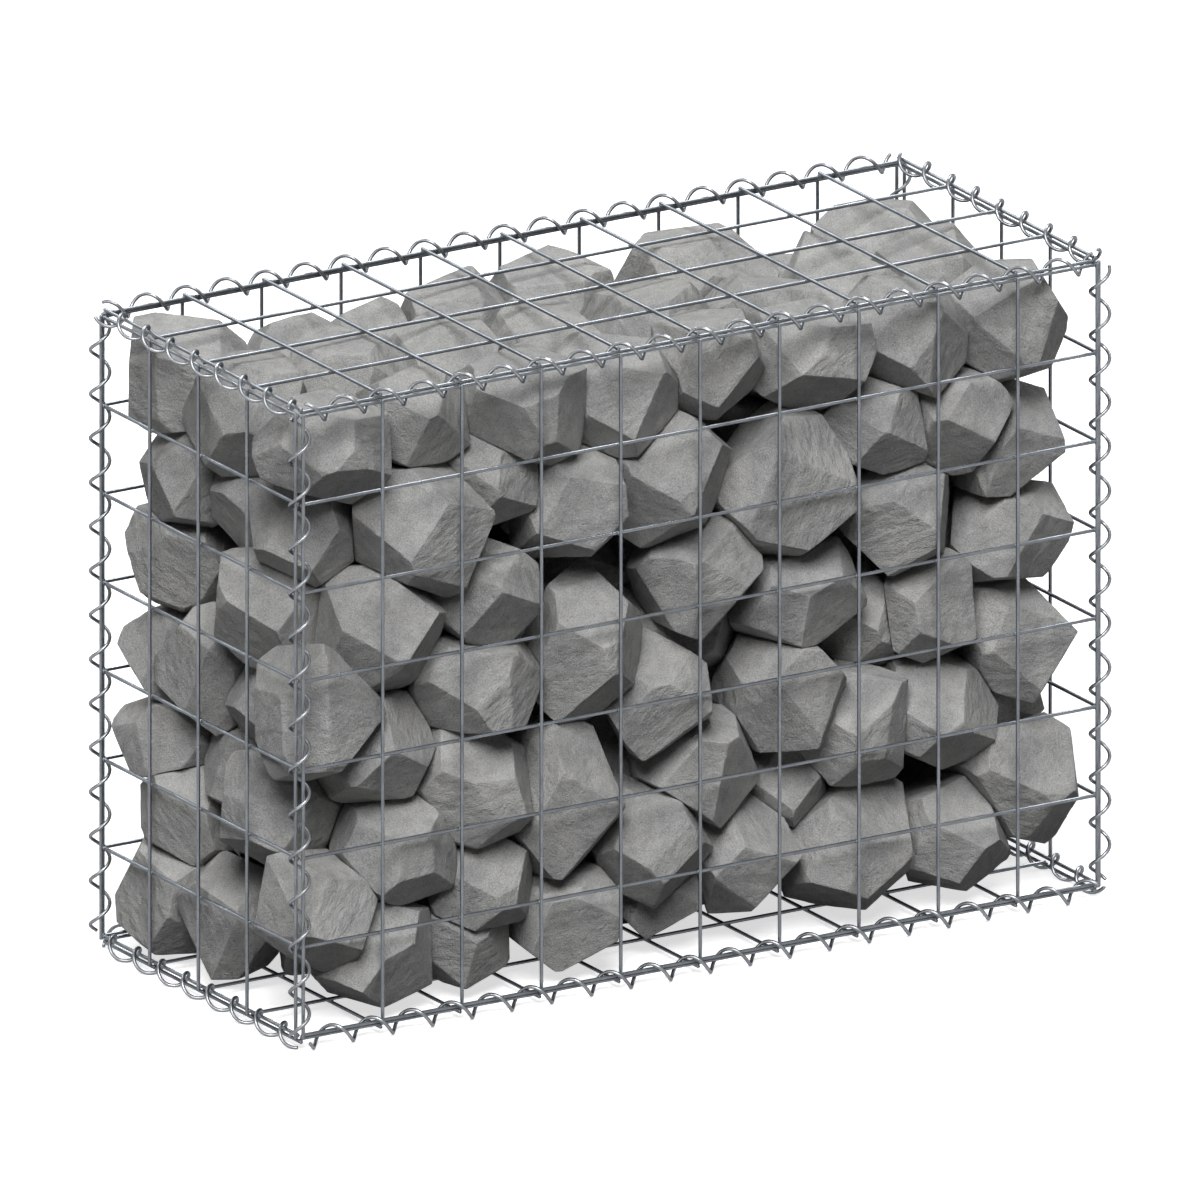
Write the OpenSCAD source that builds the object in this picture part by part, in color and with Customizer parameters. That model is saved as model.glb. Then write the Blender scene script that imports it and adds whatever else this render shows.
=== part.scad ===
// Free-standing gabion wall: a welded wire basket of six panels, laced along its
// twelve edges by spiral binders and filled with rough quarry stone.
// X runs along the wall, Y from front to back, Z up. The origin is on the ground
// under the middle of the basket.

/* [Basket] */
// Mesh cells along the wall
cells_x = 10; // [4:1:12]
// Mesh cells from front to back
cells_y = 4; // [3:1:6]
// Mesh cells up the wall
cells_z = 7; // [3:1:9]
// Mesh opening, from wire axis to wire axis
mesh_pitch = 100; // [80:5:120]
// Diameter of the mesh wire
mesh_wire_d = 4; // [3:0.5:5]
// Depth to which two crossing wires melt into each other
weld_depth = 0.4; // [0.2:0.1:0.8]
// Length by which the outer wires run past the border wires
wire_overhang = 3; // [1:0.5:4]

/* [Spirals] */
// Diameter of the spiral wire
spiral_wire_d = 4; // [3:0.25:4.5]
// Outside diameter of a spiral
spiral_d = 25; // [24:0.5:30]
// Turns of a spiral in one mesh cell
turns_per_cell = 2; // [1:1:2]
// Length by which a spiral stops short of the corners of the mesh
spiral_trim = 2; // [1:0.5:6]

/* [Stones] */
// Usual height of a course of stones
course_h = 117; // [100:1:140]
// Usual depth of a row of stones, from front to back
row_w = 133; // [110:1:160]
// Usual spacing of the stones along a row, where it runs on by rule
stone_l = 118; // [100:2:150]
// Usual reach of a stone from its heart, where a row runs on by rule
stone_r = 74; // [66:1:84]
// How far a stone strays from its place in such a row
stone_stray = 14; // [0:1:20]
// Broken faces on each stone, beside those against its neighbours
stone_faces = 13; // [9:1:16]
// Distance of the nearest broken face from the heart, as a share of the reach
stone_flat = 0.78; // [0.7:0.01:0.9]
// Most that a stone's face against the mesh leans, in degrees
side_lean = 6; // [2:1:10]
// Number that starts the scatter of the stones
stone_seed = 7; // [1:1:99]

/* [Fit] */
// Air left between pieces that lie against each other
air = 0.3; // [0.2:0.05:0.5]

/* [Hidden] */
grid_l = cells_x * mesh_pitch;
grid_w = cells_y * mesh_pitch;
grid_h = cells_z * mesh_pitch;

// Distance of each layer of wire outside the edges of the grid
wire_r = mesh_wire_d / 2;
layer_step = mesh_wire_d - weld_depth;
side_inner = wire_r + air;
side_outer = side_inner + layer_step;
flat_inner = sqrt(pow(mesh_wire_d + 2 * air, 2) - pow(side_inner, 2));
flat_outer = flat_inner + layer_step;

spiral_r = (spiral_d - spiral_wire_d) / 2;
spiral_pitch = mesh_pitch / turns_per_cell;
wire_sides = 8;
spiral_sides = 5;
spiral_step = 45;

// Each spiral's axis lies midway between the two layers of wire one way. The other way it
// lies out where the inside of the spiral bears on a border wire.
spiral_offset = (side_inner + side_outer) / 2;
bearing = spiral_r * cos(spiral_step / 2) - (spiral_wire_d + mesh_wire_d) / 2 - air;
function hang(layer) = sqrt(pow(bearing, 2) - pow(layer - spiral_offset, 2));
corner_spiral_y = grid_w / 2 + hang(side_outer);
corner_spiral_x = grid_l / 2 + spiral_offset;
long_spiral_y = grid_w / 2 + hang(flat_inner);
short_spiral_x = grid_l / 2 + hang(flat_outer);
edge_spiral_z = grid_h / 2 + spiral_offset;
grid_z = spiral_offset + spiral_d / 2;
middle_z = grid_z + grid_h / 2;

// Laying plan of the stones that show most, a list for each course from the ground up. A stone
// has its heart, from the lower front left corner of the basket, its reach and, where it isn't
// as tall as it is wide, its height as a share of its width, all in mesh cells.
front_plan = [
    [
        [0.6, 0.7, 1.1, 0.62], [1.3, 0.75, 0.62, 0.64], [2.5, 0.9, 0.52, 0.58],
        [3.8, 0.75, 0.5, 0.58], [5.1, 1.1, 0.55, 0.58], [5.95, 0.75, 0.8, 0.6],
        [7.35, 0.75, 0.72, 0.7], [8.65, 0.75, 0.58, 0.62], [9.5, 0.75, 1.1, 0.74]
    ],
    [
        [1.6, 0.7, 1.65, 0.66], [2.65, 0.7, 1.1, 0.58], [2.5, 0.75, 2.2, 0.72],
        [3.7, 0.7, 1.85, 0.62, 1.45], [4.8, 0.7, 1.2, 0.64], [5.4, 0.75, 1.95, 0.68, 0.85],
        [6.75, 1.1, 1.5, 0.52], [7.3, 0.7, 2.1, 0.62, 1.1], [8.35, 0.7, 2.05, 0.62, 1.1],
        [9.4, 1.2, 1.85, 0.55]
    ],
    [
        [0.55, 0.65, 3.35, 0.68], [1.4, 0.8, 2.8, 0.64], [2.6, 0.75, 3.4, 0.76, 0.7],
        [4.9, 0.7, 2.85, 0.6], [5.5, 1.4, 3.3, 0.62], [6.5, 0.7, 2.6, 0.66],
        [7.7, 1.1, 3.1, 0.55], [8.3, 0.7, 3.2, 0.6], [9.4, 0.75, 2.75, 0.64]
    ],
    [
        [1.4, 0.75, 4.15, 0.64, 1.15], [2.75, 0.7, 4.3, 0.58], [4, 0.7, 3.5, 0.6, 1.4],
        [5.4, 0.75, 4.1, 0.74, 0.7], [6.65, 0.75, 3.65, 0.7, 0.8], [7.95, 0.75, 4.35, 0.62],
        [9.35, 0.8, 3.9, 0.68, 0.85]
    ],
    [
        [0.9, 1.4, 5.2, 0.6], [1.95, 0.75, 5.25, 0.8], [2.85, 0.85, 5.6, 0.58],
        [3.8, 0.7, 5.15, 0.62], [4.95, 0.7, 5.25, 0.66, 1.1], [6.5, 0.75, 4.9, 0.78],
        [7.6, 0.7, 5.45, 0.57], [8.6, 0.7, 5.35, 0.58], [9.35, 0.85, 4.9, 0.66]
    ],
    [
        [0.7, 0.7, 6.35, 0.7, 0.85], [2, 0.95, 6.35, 0.58], [3.2, 0.75, 6.35, 0.7, 0.9],
        [4.45, 0.75, 6.3, 0.62], [5.6, 0.75, 6.5, 0.6], [6.8, 0.75, 6.35, 0.66, 0.85],
        [8, 0.75, 6.35, 0.66], [9.3, 0.75, 6.3, 0.68]
    ]
];
middle_plan = [
    [[0.65, 2.3, 0.6, 0.62]],
    [[0.65, 1.5, 2.05, 0.62], [1, 2.5, 2.1, 0.55]],
    [[0.95, 1.9, 3.1, 0.62]],
    [[0.7, 1.75, 4.3, 0.66]],
    [[0.95, 2.2, 5.25, 0.6]],
    [[0.7, 2.2, 6.25, 0.66]]
];
back_plan = [
    [[0.6, 3.4, 0.6, 0.72]],
    [[0.6, 3.2, 1.6, 0.6]],
    [[0.6, 3.5, 2.3, 0.58], [0.6, 3.55, 3.2, 0.54], [0.65, 2.85, 3.3, 0.6, 1.15]],
    [[0.65, 3.4, 4.35, 0.62]],
    [[0.7, 3.2, 5.35, 0.64]],
    [
        [0.65, 3.45, 6.4, 0.68], [2.1, 3.3, 6.2, 0.66], [2.9, 3.4, 6.15, 0.6],
        [3.9, 3.2, 6.35, 0.7], [5.1, 3.3, 6.4, 0.64], [6.9, 3.25, 6.35, 0.85, 0.8],
        [8.15, 3.2, 5.95, 0.6], [9.3, 3.2, 6.3, 0.78, 0.8]
    ]
];
// Cells from front to back that the back plan is drawn for
plan_cells_y = 4;

// Least distance from the right end and the lid at which a laid stone still fits
laid_inset = 0.35;

// Rows and courses of stones, and how far from the mesh a row that runs on by rule has its
// outer hearts, so that its stones come close to the mesh
rows = max(2, round(grid_w / row_w));
courses = round(grid_h / course_h);
front_inset = stone_r;
back_inset = 0.95 * stone_r;
end_inset = 0.88 * stone_r;
// Room over the top course of such rows
lid_room = 20;
// Share of a spacing by which every other row that runs on starts sooner
row_shift = 1 / 3;

golden_turn = 137.508;
face_stray = 15;
// Two stones bear on each other where the way between their hearts is under this share of
// the sum of their reaches, on a seat at least as wide as twice seat_r
seat_span = 1.12;
seat_r = 4;
// Farthest that a corner of a stone lies from its heart, as a share of its reach
corner_span = 1.8;

// Planes that keep the stones inside the basket, each as its outward direction and its
// distance from the middle: the upright sides and the lid, the bed on the wires of the base,
// and a bevel along each spiral
sides = [
    [[-1, 0, 0], grid_l / 2], [[1, 0, 0], grid_l / 2],
    [[0, -1, 0], grid_w / 2], [[0, 1, 0], grid_w / 2], [[0, 0, 1], grid_h / 2]
];
bed = [[0, 0, -1], grid_h / 2 + flat_inner - wire_r - air];
function bevel(out, axis_a, axis_b) =
    [out / sqrt(2), (axis_a + axis_b) / sqrt(2) - spiral_d / 2 - air];
bevels = [for (a = [-1, 1]) for (b = [-1, 1]) each [
    bevel([a, b, 0], corner_spiral_x, corner_spiral_y),
    bevel([0, a, b], long_spiral_y, edge_spiral_z),
    bevel([a, 0, b], short_spiral_x, edge_spiral_z)
]];

// Name of a row of stones, and of the node that holds one course of it
function row_name(j) =
    j == 0 ? "front" : j == rows - 1 ? "back" : rows == 3 ? "middle" : str("middle_", j);
function stone_node(j, k) = str("stones_", row_name(j), "_course_", k + 1);

mesh_colour = "#6f777f";
spiral_colour = "#8d949b";
stone_colour = "#96958f";

// A straight wire through the origin, flat side towards each axis
module wire(length) {
    rotate(180 / wire_sides)
        cylinder(h = length, r = wire_r / cos(180 / wire_sides), center = true, $fn = wire_sides);
}

// A welded panel lying flat: wires along X below, wires along Y above and overhanging
module panel(cells_u, cells_v) {
    u = cells_u * mesh_pitch;
    v = cells_v * mesh_pitch;
    for (n = [0:cells_v])
        translate([0, n * mesh_pitch - v / 2, 0]) rotate([0, 90, 0]) wire(u);
    for (n = [0:cells_u])
        translate([n * mesh_pitch - u / 2, 0, layer_step])
            rotate([90, 0, 0]) wire(v + 2 * wire_overhang);
}

// The long side on side -1, the front, or side 1, the back
module long_side(side) {
    color(mesh_colour)
        translate([0, side * (grid_w / 2 + side_inner), middle_z])
            rotate([side < 0 ? 90 : -90, 0, 0]) panel(cells_x, cells_z);
}

// The short side on side -1, the left end, or side 1, the right end
module short_side(side) {
    color(mesh_colour)
        translate([side * (grid_l / 2 + side_inner), 0, middle_z])
            rotate([90, 0, side * 90]) panel(cells_y, cells_z);
}

module front_panel() long_side(-1);
module back_panel() long_side(1);
module left_end_panel() short_side(-1);
module right_end_panel() short_side(1);

module lid_panel() {
    color(mesh_colour) translate([0, 0, grid_z + grid_h + flat_inner]) panel(cells_x, cells_y);
}

module base_panel() {
    color(mesh_colour)
        translate([0, 0, grid_z - flat_inner]) rotate([180, 0, 0]) panel(cells_x, cells_y);
}

// Ring of points around a spiral's wire where it has turned by the given angle
function ring(angle, turn) =
    let (
        out = [cos(angle), sin(angle), 0],
        rise = spiral_pitch / (2 * PI),
        ahead = [-spiral_r * sin(angle), spiral_r * cos(angle), rise] / norm([spiral_r, rise]),
        across = cross(ahead, out),
        middle = spiral_r * out + [0, 0, (angle - turn) / 360 * spiral_pitch]
    )
    [for (s = [0:spiral_sides - 1])
        let (b = 360 / spiral_sides * s)
        middle + spiral_wire_d / 2 * (cos(b) * out + sin(b) * across)];

// Right-handed spiral about Z between two heights, turned by the given angle at height 0
module spiral_wire(low, high, turn) {
    from = turn + 360 * low / spiral_pitch;
    to = turn + 360 * high / spiral_pitch;
    first = floor(from / spiral_step) + 1;
    last = ceil(to / spiral_step) - 1;
    angles = concat([from], [for (n = [first:last]) n * spiral_step], [to]);
    m = len(angles);
    s = spiral_sides;
    points = [for (a = angles) each ring(a, turn)];
    walls = [for (i = [0:m - 2]) for (n = [0:s - 1])
        let (p = i * s + n, q = i * s + (n + 1) % s)
        each [[p, p + s, q], [q, p + s, q + s]]];
    caps = [[for (n = [0:s - 1]) n], [for (n = [s - 1:-1:0]) (m - 1) * s + n]];
    color(spiral_colour) polyhedron(points, concat(walls, caps), convexity = 10);
}

// Spiral up a corner, on the given sides of X and Y
module corner_spiral(x_side, y_side, turn) {
    translate([x_side * corner_spiral_x, y_side * corner_spiral_y, grid_z])
        spiral_wire(spiral_trim, grid_h - spiral_trim, turn);
}

// Spiral along a long edge, at the bottom on level -1 or the top on level 1
module long_spiral(y_side, level, turn) {
    reach = grid_l / 2 - spiral_trim;
    translate([0, y_side * long_spiral_y, middle_z + level * edge_spiral_z])
        rotate([90, 0, 90]) spiral_wire(-reach, reach, turn);
}

// Spiral along a short edge, at the bottom on level -1 or the top on level 1
module short_spiral(x_side, level, turn) {
    reach = grid_w / 2 - spiral_trim;
    translate([x_side * short_spiral_x, 0, middle_z + level * edge_spiral_z])
        rotate([0, -90, -90]) spiral_wire(-reach, reach, turn);
}

module spiral_front_left() corner_spiral(-1, -1, turn = 142);
module spiral_front_right() corner_spiral(1, -1, turn = 6);
module spiral_back_left() corner_spiral(-1, 1, turn = 61);
module spiral_back_right() corner_spiral(1, 1, turn = 68);
module spiral_front_top() long_spiral(-1, 1, turn = 70);
module spiral_back_top() long_spiral(1, 1, turn = 41);
module spiral_front_bottom() long_spiral(-1, -1, turn = 169);
module spiral_back_bottom() long_spiral(1, -1, turn = 270);
module spiral_left_top() short_spiral(-1, 1, turn = 281);
module spiral_right_top() short_spiral(1, 1, turn = 353);
module spiral_left_bottom() short_spiral(-1, -1, turn = 151);
module spiral_right_bottom() short_spiral(1, -1, turn = 90);

// Number of a stone, for its own scatter
row_numbers = 40;
seed_numbers = 2000;
function stone_number(i, j, k) = stone_seed * seed_numbers + (k * rows + j) * row_numbers + i;

// A place in mesh cells as a point from the middle of the basket
function point(place) = place * mesh_pitch - [grid_l, grid_w, grid_h] / 2;

// The laid stones of one course in one row that fit in the basket, each as its heart, its
// reach and its height as a share of its width. Those of the back keep to the back.
function laid(j, k) =
    let (
        plan = j == 0 ? front_plan : j == rows - 1 ? back_plan : j == 1 ? middle_plan : [],
        back = j == rows - 1 ? cells_y - plan_cells_y : 0
    )
    [for (p = k < len(plan) ? plan[k] : [])
        if (p.x < cells_x - laid_inset && p.z < cells_z - laid_inset)
            [point([p.x, p.y + back, p.z]), p[3] * mesh_pitch, len(p) > 4 ? p[4] : 1]];

// The stones that carry a row on by rule from its last laid stone to the right end. They are
// numbered from that end, so that the stones there stay as they are in a longer row.
function run_on(j, k) =
    let (
        row = laid(j, k),
        last = grid_l / 2 - end_inset,
        from = len(row) > 0 ? row[len(row) - 1][0].x : -last - stone_l,
        count = round((last - from) / stone_l),
        sooner = (j + k) % 2 * row_shift,
        deep = front_inset + (grid_w - front_inset - back_inset) * j / (rows - 1),
        up = (grid_h - lid_room) * (k + 0.5) / courses
    )
    [for (n = [1:1:count])
        let (
            along = n == count ? last : from + (last - from) * (n - sooner) / count,
            stray = rands(-stone_stray, stone_stray, 3, stone_number(n - count - 1, j, k))
        )
        [[along, deep - grid_w / 2, up - grid_h / 2] + stray, stone_r, 1]];

// Every stone, by course, row and number in the row
stones = [for (k = [0:courses - 1]) [for (j = [0:rows - 1])
    concat(laid(j, k), run_on(j, k))]];

// How far a stone reaches in a direction
function reach(stone, way) = stone[1] * norm([way.x, way.y, way.z * stone[2]]) / norm(way);

// The stones around one stone, each as the way to its heart, the distance at which the two
// meet and whether they bear on each other
function neighbours(me) =
    [for (course = stones) for (row = course) for (it = row)
        let (way = it[0] - me[0], far = norm(way))
        if (far > 0 && far < corner_span * (me[1] + it[1]))
            let (mine = reach(me, way), theirs = reach(it, way))
            [way / far, far * mine / (mine + theirs), far < seat_span * (mine + theirs)]];

// Seats of a stone on the stones around it and on the bed, from its heart
function seats(me, around) =
    let (drop = bed[1] - bed[0] * me[0])
    concat(
        [for (it = around) if (it[2]) it[0] * it[1]],
        drop < seat_span * reach(me, bed[0]) ? [bed[0] * drop] : []
    );

// Broken faces of a stone, each as its outward direction and its distance from the heart.
// They point all round along a golden spiral, and none of them cuts off a seat.
function broken_faces(me, number, bearings) =
    let (
        share = rands(stone_flat, 1, stone_faces, number + 0.25),
        lean = rands(-face_stray, face_stray, stone_faces, number + 0.5),
        start = rands(0, 360, 1, number + 0.75)[0]
    )
    [for (n = [0:stone_faces - 1])
        let (
            up = acos(1 - (2 * n + 1) / stone_faces) + lean[n],
            turn = start + n * golden_turn,
            out = [sin(up) * cos(turn), sin(up) * sin(turn), cos(up)]
        )
        [out, max(concat([share[n] * reach(me, out)], [for (s = bearings) out * s + seat_r]))]];

// Faces against the stones around it, half of the joint short of where the two meet
function joint_faces(around) = [for (it = around) [it[0], it[1] - air / 2]];

// A face tilted off a plane, behind that plane as far out as the given span
function leaning(out, far, tilt, span) =
    [(out + tilt) / norm(out + tilt), (far - norm(tilt) * span) / norm(out + tilt)];

// Faces against the basket: its own planes, and inside the sides and the lid a face that
// leans a little
function cage_faces(me, number) =
    let (lean = rands(-tan(side_lean), tan(side_lean), 3, number + 0.125))
    concat(
        [for (face = concat(sides, [bed], bevels)) [face[0], face[1] - face[0] * me[0]]],
        [for (face = sides)
            let (out = face[0])
            leaning(out, face[1] - out * me[0], lean - (lean * out) * out, me[1])]
    );

// All that lies behind one plane, as far as a stone can reach
module behind(plane, span) {
    rotate([0, acos(plane[0].z), atan2(plane[0].y, plane[0].x)])
        translate([-span, -span, plane[1] - 2 * span])
            cube(2 * span);
}

// A stone: what lies behind all of its faces that are near enough to cut it
module stone(me, number) {
    around = neighbours(me);
    faces = concat(
        joint_faces(around),
        cage_faces(me, number),
        broken_faces(me, number, seats(me, around))
    );
    span = corner_span * me[1] * max(1, me[2]);
    translate(me[0])
        intersection_for (plane = [for (face = faces) if (face[1] < span) face])
            behind(plane, 2 * span);
}

// The stones of one course in one row along the wall
module stone_row(j, k) {
    row = stones[k][j];
    by_hand = len(laid(j, k));
    color(stone_colour)
        translate([0, 0, middle_z])
            for (i = [0:len(row) - 1])
                stone(row[i], stone_number(i < by_hand ? i : i - len(row), j, k));
}

front_panel();
back_panel();
left_end_panel();
right_end_panel();
base_panel();
lid_panel();
spiral_front_left();
spiral_front_right();
spiral_back_left();
spiral_back_right();
spiral_front_top();
spiral_back_top();
spiral_front_bottom();
spiral_back_bottom();
spiral_left_top();
spiral_right_top();
spiral_left_bottom();
spiral_right_bottom();
for (k = [0:courses - 1]) for (j = [0:rows - 1])
    stone_row(j, k);
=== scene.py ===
"""Visual model of a free-standing gabion wall, laid out as a Blender add-on.

Rough stones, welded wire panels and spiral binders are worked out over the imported
solids, each in the place of its own node. Lengths are in metres.
"""

import math

import bpy
import numpy as np
from bpy.props import FloatProperty, FloatVectorProperty, IntProperty, PointerProperty
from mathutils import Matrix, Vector


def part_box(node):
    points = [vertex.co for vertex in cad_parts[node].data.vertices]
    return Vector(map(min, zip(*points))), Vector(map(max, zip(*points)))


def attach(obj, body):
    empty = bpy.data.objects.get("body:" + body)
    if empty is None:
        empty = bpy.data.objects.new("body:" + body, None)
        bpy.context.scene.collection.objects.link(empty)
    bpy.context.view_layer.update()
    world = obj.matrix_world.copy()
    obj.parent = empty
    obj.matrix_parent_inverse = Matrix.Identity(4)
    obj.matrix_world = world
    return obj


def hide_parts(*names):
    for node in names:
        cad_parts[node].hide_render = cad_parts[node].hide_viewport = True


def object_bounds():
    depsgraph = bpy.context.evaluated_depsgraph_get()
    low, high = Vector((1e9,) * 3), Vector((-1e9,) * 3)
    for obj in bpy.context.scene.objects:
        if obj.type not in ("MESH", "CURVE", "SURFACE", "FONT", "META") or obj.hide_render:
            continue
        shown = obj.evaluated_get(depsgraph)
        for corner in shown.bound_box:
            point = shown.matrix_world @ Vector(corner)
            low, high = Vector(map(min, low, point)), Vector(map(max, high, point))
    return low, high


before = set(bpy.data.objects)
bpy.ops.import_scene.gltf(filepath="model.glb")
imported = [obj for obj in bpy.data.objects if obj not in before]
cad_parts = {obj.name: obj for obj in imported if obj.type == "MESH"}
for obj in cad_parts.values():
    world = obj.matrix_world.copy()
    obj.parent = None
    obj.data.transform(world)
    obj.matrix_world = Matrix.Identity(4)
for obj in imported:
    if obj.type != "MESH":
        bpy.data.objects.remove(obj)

CAD_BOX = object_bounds()

bl_info = {
    "name": "Gabion wall",
    "version": (1, 0, 0),
    "blender": (4, 5, 0),
    "location": "View3D > Sidebar > Gabion",
    "description": "Dresses a gabion wall with rough stone, welded mesh and spiral binders",
    "category": "Object",
}

# The mesh panels: the axis across the panel, the one along its inner wires, and the one
# along its outer wires, which overhang
PANEL_AXES = {
    "front_panel": (1, 0, 2),
    "back_panel": (1, 0, 2),
    "left_end_panel": (0, 1, 2),
    "right_end_panel": (0, 1, 2),
    "base_panel": (2, 0, 1),
    "lid_panel": (2, 0, 1),
}
SPIRALS = sorted(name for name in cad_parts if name.startswith("spiral_"))
STONE_ROWS = sorted(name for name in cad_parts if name.startswith("stones_"))


class StoneSettings(bpy.types.PropertyGroup):
    """Sizes and colours of the stone filling"""

    grid_step: FloatProperty(
        name="Grid step", description="Spacing of the points over a broken face",
        default=0.008, min=0.003, unit="LENGTH")
    edge_wear: FloatProperty(
        name="Edge wear", description="Size of the rounding along the edges of a stone",
        default=0.0004, min=0.0001, unit="LENGTH")
    chip_depth: FloatProperty(
        name="Chip depth", description="Extra rounding where an edge is chipped",
        default=0.0011, min=0.0, unit="LENGTH")
    lump_depth: FloatProperty(
        name="Lump depth", description="Depth of the shallow hollows in a broken face",
        default=0.0005, min=0.0, unit="LENGTH")
    lump_length: FloatProperty(
        name="Lump length", description="Mean length of the hollows in a broken face",
        default=0.034, min=0.01, unit="LENGTH")
    seed: IntProperty(
        name="Seed", description="Number that the chips and hollows are drawn from", default=11)
    warm_grey: FloatVectorProperty(
        name="Warm grey", description="Colour of the stone's warmer patches",
        default=(0.385, 0.381, 0.370), size=3, min=0.0, max=1.0, subtype="COLOR")
    cool_grey: FloatVectorProperty(
        name="Cool grey", description="Colour of the stone's cooler patches",
        default=(0.352, 0.354, 0.352), size=3, min=0.0, max=1.0, subtype="COLOR")


class PanelSettings(bpy.types.PropertyGroup):
    """Sizes and colours of the welded mesh panels"""

    wire_d: FloatProperty(
        name="Wire diameter", description="Diameter of a straight mesh wire",
        default=0.004, min=0.001, unit="LENGTH")
    pitch: FloatProperty(
        name="Mesh pitch", description="Spacing of the mesh wires",
        default=0.1, min=0.01, unit="LENGTH")
    overhang: FloatProperty(
        name="Overhang", description="Length of an outer wire past the border of the mesh",
        default=0.003, min=0.0, unit="LENGTH")
    sides: IntProperty(
        name="Wire sides", description="Points round a wire", default=14, min=6)
    weld_reach: FloatProperty(
        name="Weld reach", description="Reach of a weld bead along the wires",
        default=0.0029, min=0.0, unit="LENGTH")
    zinc: FloatVectorProperty(
        name="Zinc", description="Colour of the mesh wires' zinc",
        default=(0.180, 0.193, 0.209), size=3, min=0.0, max=1.0, subtype="COLOR")
    dull_zinc: FloatVectorProperty(
        name="Dull zinc", description="Colour where the zinc has gone dull",
        default=(0.114, 0.124, 0.137), size=3, min=0.0, max=1.0, subtype="COLOR")
    edge_tint: FloatVectorProperty(
        name="Edge tint", description="Colour that the wire's gloss takes towards its rims",
        default=(0.46, 0.49, 0.53), size=3, min=0.0, max=1.0, subtype="COLOR")
    roughness: FloatProperty(
        name="Roughness", description="Roughness of the zinc where it is bright",
        default=0.26, min=0.0, max=1.0, subtype="FACTOR")
    metallic: FloatProperty(
        name="Metallic", description="Share of the zinc that shines as bare metal",
        default=0.8, min=0.0, max=1.0, subtype="FACTOR")


class SpiralSettings(bpy.types.PropertyGroup):
    """Sizes and colours of the spiral binders"""

    wire_d: FloatProperty(
        name="Wire diameter", description="Diameter of the spiral's wire",
        default=0.004, min=0.001, unit="LENGTH")
    pitch: FloatProperty(
        name="Pitch", description="Length of one turn along the spiral",
        default=0.05, min=0.01, unit="LENGTH")
    sides: IntProperty(
        name="Wire sides", description="Points round the wire", default=10, min=6)
    steps: IntProperty(
        name="Steps", description="Rings of points in one turn", default=30, min=8)
    zinc: FloatVectorProperty(
        name="Zinc", description="Colour of the spirals' zinc",
        default=(0.225, 0.234, 0.246), size=3, min=0.0, max=1.0, subtype="COLOR")
    dull_zinc: FloatVectorProperty(
        name="Dull zinc", description="Colour where the zinc has gone dull",
        default=(0.150, 0.157, 0.166), size=3, min=0.0, max=1.0, subtype="COLOR")
    edge_tint: FloatVectorProperty(
        name="Edge tint", description="Colour that the wire's gloss takes towards its rims",
        default=(0.46, 0.49, 0.53), size=3, min=0.0, max=1.0, subtype="COLOR")
    roughness: FloatProperty(
        name="Roughness", description="Roughness of the zinc where it is bright",
        default=0.22, min=0.0, max=1.0, subtype="FACTOR")
    metallic: FloatProperty(
        name="Metallic", description="Share of the zinc that shines as bare metal",
        default=0.85, min=0.0, max=1.0, subtype="FACTOR")


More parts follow.
